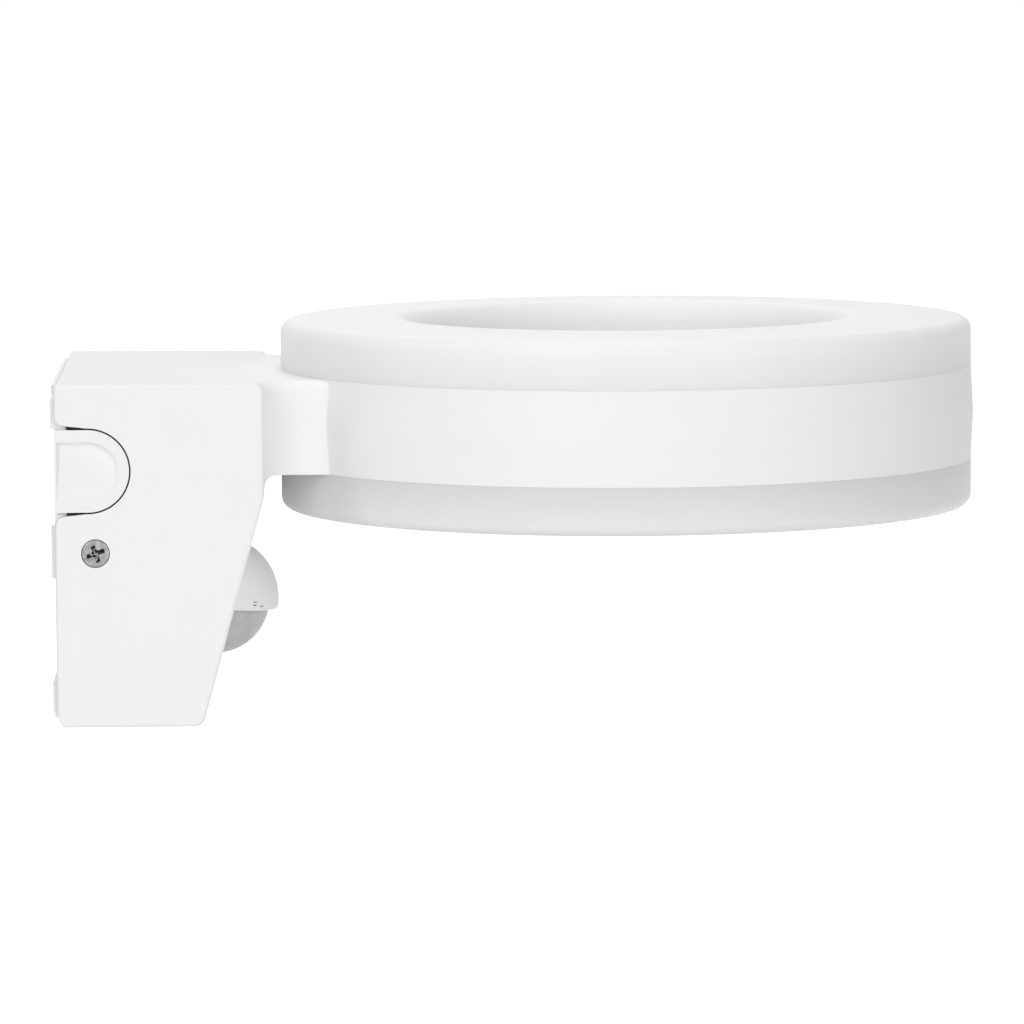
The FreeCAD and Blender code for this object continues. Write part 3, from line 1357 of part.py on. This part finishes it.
doc.recompute()
failed = [item.Name for item in doc.Objects if "Invalid" in item.State or "Error" in item.State]
if failed:
    raise RuntimeError(f"failed: {failed}")
for part in PARTS:
    if part.Shape.isNull() or not part.Shape.isValid():
        raise RuntimeError(f"{part.Label} has no valid shape")
os.makedirs("parts", exist_ok=True)
for part in PARTS:
    part.Shape.exportStep(f"parts/{part.Label}.step")
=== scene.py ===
import json
import math

import bpy
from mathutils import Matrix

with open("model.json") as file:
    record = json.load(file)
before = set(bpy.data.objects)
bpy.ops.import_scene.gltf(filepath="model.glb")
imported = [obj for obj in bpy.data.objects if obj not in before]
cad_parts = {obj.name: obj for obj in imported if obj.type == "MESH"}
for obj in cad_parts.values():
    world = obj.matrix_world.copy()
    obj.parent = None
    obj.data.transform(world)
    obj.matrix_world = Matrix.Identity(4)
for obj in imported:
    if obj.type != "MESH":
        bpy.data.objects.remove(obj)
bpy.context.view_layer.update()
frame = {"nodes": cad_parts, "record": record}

# Places on the part that finishes depend on, in metres
UPPER_SEAM = 0.043
LOWER_SEAM = 0.019
SCREW_RECESS = 0.0589
SCREW_FACE = 0.0597
TONGUE_NOSE_OUT = 0.00945
TONGUE_NOSE_UP = 0.0216
GAP_INNER_RADIUS = 0.01042
GAP_OUTER_RADIUS = 0.01083
PLATE_FRONT = 0.0042
BOX_SIDES = 0.05

GRAIN_DEPTH = 0.00002
# Painted shade: near-black colour for the side screws' cross recess
PAINTED_RECESS_SHADE = (0.012, 0.012, 0.012)
# Painted shade: near-black colour for the walls of the gap round each cable entry tongue
PAINTED_GAP_SHADE = (0.015, 0.015, 0.015)


def grey(level):
    return (level, level, level)


def deselect_all():
    bpy.ops.object.select_all(action="DESELECT")


# Shared surface effects


def new_group(name, inputs, outputs):
    """An empty shader node group with float inputs (name, default) and named outputs."""
    group = bpy.data.node_groups.new(name, "ShaderNodeTree")
    for socket, default in inputs:
        made = group.interface.new_socket(socket, in_out="INPUT", socket_type="NodeSocketFloat")
        made.default_value = default
    for socket in outputs:
        group.interface.new_socket(socket, in_out="OUTPUT", socket_type="NodeSocketFloat")
    start = group.nodes.new("NodeGroupInput")
    end = group.nodes.new("NodeGroupOutput")
    return group, start, end


def plug_in(links, value, socket):
    """A number set on a socket, or another socket linked to it."""
    if isinstance(value, (int, float)):
        socket.default_value = value
    else:
        links.new(value, socket)


def math_node(nodes, links, operation, first, second=0.0, clamp=False):
    """One step of arithmetic on numbers or sockets."""
    step = nodes.new("ShaderNodeMath")
    step.operation = operation
    step.use_clamp = clamp
    plug_in(links, first, step.inputs[0])
    plug_in(links, second, step.inputs[1])
    return step.outputs["Value"]


def noise(nodes, links, coords, scale, detail):
    """A noise texture on given coordinates; scale is a number or a socket."""
    texture = nodes.new("ShaderNodeTexNoise")
    links.new(coords, texture.inputs["Vector"])
    texture.inputs["Detail"].default_value = detail
    plug_in(links, scale, texture.inputs["Scale"])
    return texture.outputs["Fac"]


def spread(nodes, links, value, low, high):
    """A 0 to 1 value mapped to the range low to high; each end is a number or a socket."""
    mapped = nodes.new("ShaderNodeMapRange")
    links.new(value, mapped.inputs["Value"])
    plug_in(links, low, mapped.inputs["To Min"])
    plug_in(links, high, mapped.inputs["To Max"])
    return mapped.outputs["Result"]


def moulded_skin_group():
    """Spark-eroded mould grain: a fine height, a slow tint and a roughness that follows the tint."""
    group, start, end = new_group(
        "moulded_skin",
        [("Grain Scale", 2400.0), ("Flow Scale", 26.0), ("Rough Low", 0.4), ("Rough High", 0.5)],
        ["Grain", "Flow", "Roughness"],
    )
    nodes, links = group.nodes, group.links
    place = nodes.new("ShaderNodeTexCoord").outputs["Object"]
    grain = noise(nodes, links, place, start.outputs["Grain Scale"], 3.0)
    flow = noise(nodes, links, place, start.outputs["Flow Scale"], 2.0)
    rough = spread(nodes, links, flow, start.outputs["Rough Low"], start.outputs["Rough High"])
    links.new(grain, end.inputs["Grain"])
    links.new(flow, end.inputs["Flow"])
    links.new(rough, end.inputs["Roughness"])
    return group


def turned_metal_group():
    """Fine scratches and a light cloudiness, as on plated steel."""
    group, start, end = new_group(
        "turned_metal",
        [("Scratch Scale", 900.0), ("Cloud Scale", 180.0), ("Rough Low", 0.22), ("Rough High", 0.42)],
        ["Scratch", "Cloud", "Roughness"],
    )
    nodes, links = group.nodes, group.links
    place = nodes.new("ShaderNodeTexCoord").outputs["Object"]
    scratch = noise(nodes, links, place, start.outputs["Scratch Scale"], 6.0)
    cloud = noise(nodes, links, place, start.outputs["Cloud Scale"], 3.0)
    rough = spread(nodes, links, scratch, start.outputs["Rough Low"], start.outputs["Rough High"])
    links.new(scratch, end.inputs["Scratch"])
    links.new(cloud, end.inputs["Cloud"])
    links.new(rough, end.inputs["Roughness"])
    return group


def depth_fade_group():
    """A mask on one value, such as a height: 0 at the start, 1 a given reach away from it."""
    group, start, end = new_group(
        "depth_fade", [("Value", 0.0), ("Start", 0.0), ("Reach", 0.01)], ["Fade"]
    )
    nodes, links, take = group.nodes, group.links, start.outputs
    away = math_node(nodes, links, "SUBTRACT", take["Value"], take["Start"])
    share = math_node(nodes, links, "DIVIDE", away, take["Reach"], clamp=True)
    links.new(share, end.inputs["Fade"])
    return group


def painted_gap_shade_mask_group():
    """A mask for painted shade: 0 on the walls of the gap round a side tongue and 1 elsewhere."""
    group, start, end = new_group(
        "gap_wall",
        [("X", 0.0), ("Y", 0.0), ("Z", 0.0), ("Nose X", 0.0), ("Nose Z", 0.0), ("Inner", 0.0), ("Outer", 0.0)],
        ["Clear"],
    )
    nodes, links, take = group.nodes, group.links, start.outputs

    def step(operation, first, second=0.0):
        return math_node(nodes, links, operation, first, second)

    past_nose = step("MAXIMUM", step("SUBTRACT", take["X"], take["Nose X"]))
    above = step("SUBTRACT", take["Z"], take["Nose Z"])
    radius = step("SQRT", step("ADD", step("MULTIPLY", past_nose, past_nose), step("MULTIPLY", above, above)))
    past_inner = step("GREATER_THAN", radius, take["Inner"])
    within = step("MULTIPLY", past_inner, step("LESS_THAN", radius, take["Outer"]))
    beside = step("GREATER_THAN", step("ABSOLUTE", take["Y"]), BOX_SIDES)
    off_plate = step("GREATER_THAN", take["X"], PLATE_FRONT)
    wall = step("MULTIPLY", within, step("MULTIPLY", beside, off_plate))
    links.new(step("SUBTRACT", 1.0, wall), end.inputs["Clear"])
    return group


MOULDED_SKIN = moulded_skin_group()
TURNED_METAL = turned_metal_group()
DEPTH_FADE = depth_fade_group()
PAINTED_GAP_SHADE_MASK = painted_gap_shade_mask_group()


def group_node(nodes, group, **settings):
    """A group in a material, with numbers set on its inputs (spaces written as underscores)."""
    made = nodes.new("ShaderNodeGroup")
    made.node_tree = group
    for name, value in settings.items():
        made.inputs[name.replace("_", " ")].default_value = value
    return made


def new_material(name):
    made = bpy.data.materials.new(name)
    made.use_nodes = True
    nodes = made.node_tree.nodes
    return made, nodes, made.node_tree.links, nodes["Principled BSDF"]


def parts_of(material):
    """Nodes, links and shader of a material."""
    nodes = material.node_tree.nodes
    return nodes, material.node_tree.links, nodes["Principled BSDF"]


def two_tone(nodes, links, mask, shader, first, second):
    """Base colour between two tones, by a mask."""
    tone = nodes.new("ShaderNodeMix")
    tone.data_type = "RGBA"
    tone.inputs["A"].default_value = (*first, 1)
    tone.inputs["B"].default_value = (*second, 1)
    links.new(mask, tone.inputs["Factor"])
    links.new(tone.outputs["Result"], shader.inputs["Base Color"])


def object_axis(nodes, links, axis):
    """The X, Y or Z of a point in the object's own frame."""
    parts = nodes.new("ShaderNodeSeparateXYZ")
    links.new(nodes.new("ShaderNodeTexCoord").outputs["Object"], parts.inputs["Vector"])
    return parts.outputs[axis]


def depth_fade(nodes, links, value, start, reach):
    """The depth fade group on a value; a negative reach fades the other way."""
    fade = group_node(nodes, DEPTH_FADE, Start=start, Reach=reach)
    links.new(value, fade.inputs["Value"])
    return fade.outputs["Fade"]


def tone_over(nodes, links, mask, shader, tone):
    """Another tone in place of the shader's base colour where the mask is 0."""
    under = shader.inputs["Base Color"].links[0].from_socket
    mixed = nodes.new("ShaderNodeMix")
    mixed.data_type = "RGBA"
    mixed.inputs["A"].default_value = (*tone, 1)
    links.new(mask, mixed.inputs["Factor"])
    links.new(under, mixed.inputs["B"])
    links.new(mixed.outputs["Result"], shader.inputs["Base Color"])


def relief(nodes, links, height, shader, strength):
    """Fine relief on the shader's normal."""
    bump = nodes.new("ShaderNodeBump")
    bump.inputs["Strength"].default_value = strength
    bump.inputs["Distance"].default_value = GRAIN_DEPTH
    links.new(height, bump.inputs["Height"])
    links.new(bump.outputs["Normal"], shader.inputs["Normal"])


def moulded_plastic(name, first, second, rough, grain=2400.0, flow=26.0, shine=0.5):
    """Moulded plastic with its mould's grain and a slow change of tone."""
    made, nodes, links, shader = new_material(name)
    skin = group_node(
        nodes, MOULDED_SKIN, Grain_Scale=grain, Flow_Scale=flow, Rough_Low=rough[0], Rough_High=rough[1]
    )
    two_tone(nodes, links, skin.outputs["Flow"], shader, first, second)
    links.new(skin.outputs["Roughness"], shader.inputs["Roughness"])
    relief(nodes, links, skin.outputs["Grain"], shader, 0.25)
    shader.inputs["Specular IOR Level"].default_value = shine
    return made


def white_plastic(name):
    """The shell's satin white."""
    return moulded_plastic(name, grey(0.87), grey(0.85), (0.5, 0.6), shine=0.35)


def shell_with_painted_gap_shade(name):
    """White shell with painted shade: the walls of the narrow gap round each cable entry tongue are coloured
    near black.
    """
    made = white_plastic(name)
    nodes, links, shader = parts_of(made)
    gap = group_node(
        nodes,
        PAINTED_GAP_SHADE_MASK,
        Nose_X=TONGUE_NOSE_OUT,
        Nose_Z=TONGUE_NOSE_UP,
        Inner=GAP_INNER_RADIUS,
        Outer=GAP_OUTER_RADIUS,
    )
    for axis in ("X", "Y", "Z"):
        links.new(object_axis(nodes, links, axis), gap.inputs[axis])
    tone_over(nodes, links, gap.outputs["Clear"], shader, PAINTED_GAP_SHADE)
    return made


def milky_plastic(name, first, second, painted_seam_shade, seam, reach):
    """Frosted plastic that light enters and spreads in, with painted shade: its colour darkens towards its
    seam on the ring.
    """
    made = moulded_plastic(name, first, second, (0.42, 0.52), grain=3200.0, shine=0.35)
    nodes, links, shader = parts_of(made)
    height = object_axis(nodes, links, "Z")
    # Painted shade: the colour darkens towards the seam on the ring
    tone_over(nodes, links, depth_fade(nodes, links, height, seam, reach), shader, painted_seam_shade)
    shader.inputs["Subsurface Weight"].default_value = 0.25
    shader.inputs["Subsurface Radius"].default_value = (1.0, 1.0, 1.0)
    shader.inputs["Subsurface Scale"].default_value = 0.002
    return made


def plated_metal(name, first, second, rough, cloud=180.0):
    """Plated or drawn metal with fine scratches."""
    made, nodes, links, shader = new_material(name)
    shader.inputs["Metallic"].default_value = 1.0
    skin = group_node(nodes, TURNED_METAL, Cloud_Scale=cloud, Rough_Low=rough[0], Rough_High=rough[1])
    two_tone(nodes, links, skin.outputs["Cloud"], shader, first, second)
    links.new(skin.outputs["Roughness"], shader.inputs["Roughness"])
    relief(nodes, links, skin.outputs["Scratch"], shader, 0.2)
    return made


def screw_with_painted_recess_shade(name, first, second, rough):
    """Blotchy plated screw with painted shade: its recess, below its face, is coloured near black, except in a
    few noise spots where the steel's own reflections show as glints.
    """
    made = plated_metal(name, first, second, rough, cloud=800.0)
    nodes, links, shader = parts_of(made)
    side = math_node(nodes, links, "ABSOLUTE", object_axis(nodes, links, "Y"))
    face = depth_fade(nodes, links, side, SCREW_RECESS, SCREW_FACE - SCREW_RECESS)
    place = nodes.new("ShaderNodeTexCoord").outputs["Object"]
    # Spots where the painted shade is left off, so the steel's reflections show through
    unshaded_spots = depth_fade(nodes, links, noise(nodes, links, place, 900.0, 2.0), 0.545, 0.04)
    left_unshaded = math_node(nodes, links, "MAXIMUM", face, unshaded_spots)
    tone_over(nodes, links, left_unshaded, shader, PAINTED_RECESS_SHADE)
    return made


FINISHES = {
    "white_shell": white_plastic("white_shell_plastic"),
    "frosted_cover": milky_plastic(
        "upper_cover_plastic_painted_seam_shade", grey(0.87), grey(0.85), grey(0.79), UPPER_SEAM, 0.009
    ),
    "lens_film": moulded_plastic(
        "lens_film_plastic", grey(0.64), grey(0.34), (0.4, 0.5), grain=900.0, flow=160.0, shine=0.25
    ),
    "inner_plastic": moulded_plastic(
        "inner_grey_plastic", (0.55, 0.56, 0.57), (0.5, 0.51, 0.52), (0.45, 0.6)
    ),
    "driver_case": moulded_plastic(
        "driver_case_plastic", (0.03, 0.03, 0.032), (0.022, 0.022, 0.024), (0.4, 0.55)
    ),
    "dial_plastic": moulded_plastic("dial_plastic", (0.34, 0.35, 0.36), (0.3, 0.31, 0.32), (0.4, 0.55)),
    "screw_steel": plated_metal("screw_steel", grey(0.34), grey(0.22), (0.22, 0.4)),
    "sensor_can": plated_metal("sensor_can_nickel", (0.6, 0.59, 0.56), (0.52, 0.51, 0.48), (0.2, 0.35)),
    "clamp_brass": plated_metal("clamp_brass", (0.72, 0.52, 0.24), (0.6, 0.42, 0.18), (0.25, 0.4)),
    "seal_rubber": moulded_plastic("seal_rubber", grey(0.05), grey(0.035), (0.6, 0.8), grain=1600.0),
    "board_white": moulded_plastic("board_white_mask", (0.8, 0.81, 0.79), (0.76, 0.77, 0.75), (0.25, 0.35)),
    "board_green": moulded_plastic("board_green_mask", (0.03, 0.16, 0.07), (0.02, 0.12, 0.05), (0.2, 0.3)),
    "led_phosphor": moulded_plastic("led_phosphor", (0.86, 0.72, 0.25), (0.8, 0.62, 0.18), (0.3, 0.4)),
    "lead_sleeve": moulded_plastic("lead_sleeve", (0.36, 0.07, 0.05), (0.3, 0.05, 0.04), (0.4, 0.5)),
}

for row in frame["record"]["subparts"]:
    node = frame["nodes"][row["node"]]
    node.data.materials.clear()
    node.data.materials.append(FINISHES[row["material_slot"]])

# Pieces with a finish of their own in place of their slot's
# Painted shade in the gap round each cable entry tongue, on the wall plate and the housing
shell_painted_gap_shade = shell_with_painted_gap_shade("shell_plastic_painted_gap_shade")
own_finishes = {
    "wall_plate": shell_painted_gap_shade,
    "housing": shell_painted_gap_shade,
    # Painted shade: the lower cover is a darker copy of the cover plastic, as it gets less light from below,
    # and darker still towards its seam
    "lower_diffuser": milky_plastic(
        "lower_cover_plastic_painted_shade", grey(0.8), grey(0.78), grey(0.68), LOWER_SEAM, -0.011
    ),
    # Painted shade in the side screws' cross recess
    "side_screws": screw_with_painted_recess_shade("side_screw_steel_painted_recess_shade", grey(0.5), grey(0.03), (0.25, 0.45)),
}
for name, finish in own_finishes.items():
    frame["nodes"][name].data.materials[0] = finish


# Stage, light and camera


def white_to_the_eye(nodes, links):
    """Light Path's share of rays that should see a clean white: camera, mirror and glass rays."""
    rays = nodes.new("ShaderNodeLightPath").outputs
    seen = math_node(nodes, links, "MAXIMUM", rays["Is Camera Ray"], rays["Is Glossy Ray"])
    return math_node(nodes, links, "MAXIMUM", seen, rays["Is Transmission Ray"])


def studio_world():
    """Even soft light all round, seen as plain white."""
    world = bpy.data.worlds.new("studio_world")
    world.use_nodes = True
    nodes, links = world.node_tree.nodes, world.node_tree.links
    background = nodes["Background"]
    background.inputs["Color"].default_value = (1, 1, 1, 1)
    level = spread(nodes, links, white_to_the_eye(nodes, links), 0.34, 1.0)
    links.new(level, background.inputs["Strength"])
    bpy.context.scene.world = world


def studio_floor(height):
    deselect_all()
    bpy.ops.mesh.primitive_plane_add(size=12.0, location=(0, 0, height))
    floor = bpy.context.object
    floor.name = "studio_floor"
    made, nodes, links, shader = new_material("studio_floor_paper")
    shader.inputs["Base Color"].default_value = (0.8, 0.8, 0.8, 1)
    shader.inputs["Roughness"].default_value = 0.9
    shader.inputs["Emission Color"].default_value = (1, 1, 1, 1)
    glow = math_node(nodes, links, "MULTIPLY", white_to_the_eye(nodes, links), 0.95)
    links.new(glow, shader.inputs["Emission Strength"])
    floor.data.materials.append(made)


def soft_lamp(name, place, aim, power):
    """A round lamp that faces the aim."""
    deselect_all()
    bpy.ops.object.light_add(type="AREA", location=place)
    lamp = bpy.context.object
    lamp.name = name
    lamp.data.shape = "DISK"
    lamp.data.size = 1.2
    lamp.data.energy = power
    way = [goal - start for goal, start in zip(aim, place)]
    flat = math.hypot(way[0], way[1])
    lamp.rotation_euler = (math.atan2(flat, -way[2]), 0, math.atan2(way[1], way[0]) - math.pi / 2)


def photo_camera():
    """The camera at the photo's place and angle."""
    deselect_all()
    bpy.ops.object.camera_add(
        location=(0.0702, -1.8152, 0.1795),
        rotation=[math.radians(angle) for angle in (84.4999, 0.3484, -1.5335)],
    )
    camera = bpy.context.object
    camera.name = "photo_camera"
    camera.data.sensor_width = 36.0
    camera.data.lens = 246.1
    camera.data.clip_end = 50.0
    bpy.context.scene.camera = camera


studio_world()
studio_floor(-0.32)
MIDDLE = (0.11, 0.0, 0.01)
soft_lamp("front_left_lamp", (-0.9, -2.15, 0.8), MIDDLE, 15.5)
soft_lamp("front_right_lamp", (1.15, -2.05, 0.4), MIDDLE, 15.0)
soft_lamp("left_lamp", (-2.2, -0.6, 0.8), MIDDLE, 8.0)
soft_lamp("top_lamp", (0.1, 0.2, 2.3), MIDDLE, 16.0)
soft_lamp("rear_lamp", (0.1, 1.8, 1.5), MIDDLE, 6.5)
photo_camera()
bpy.context.scene.view_settings.view_transform = "Standard"
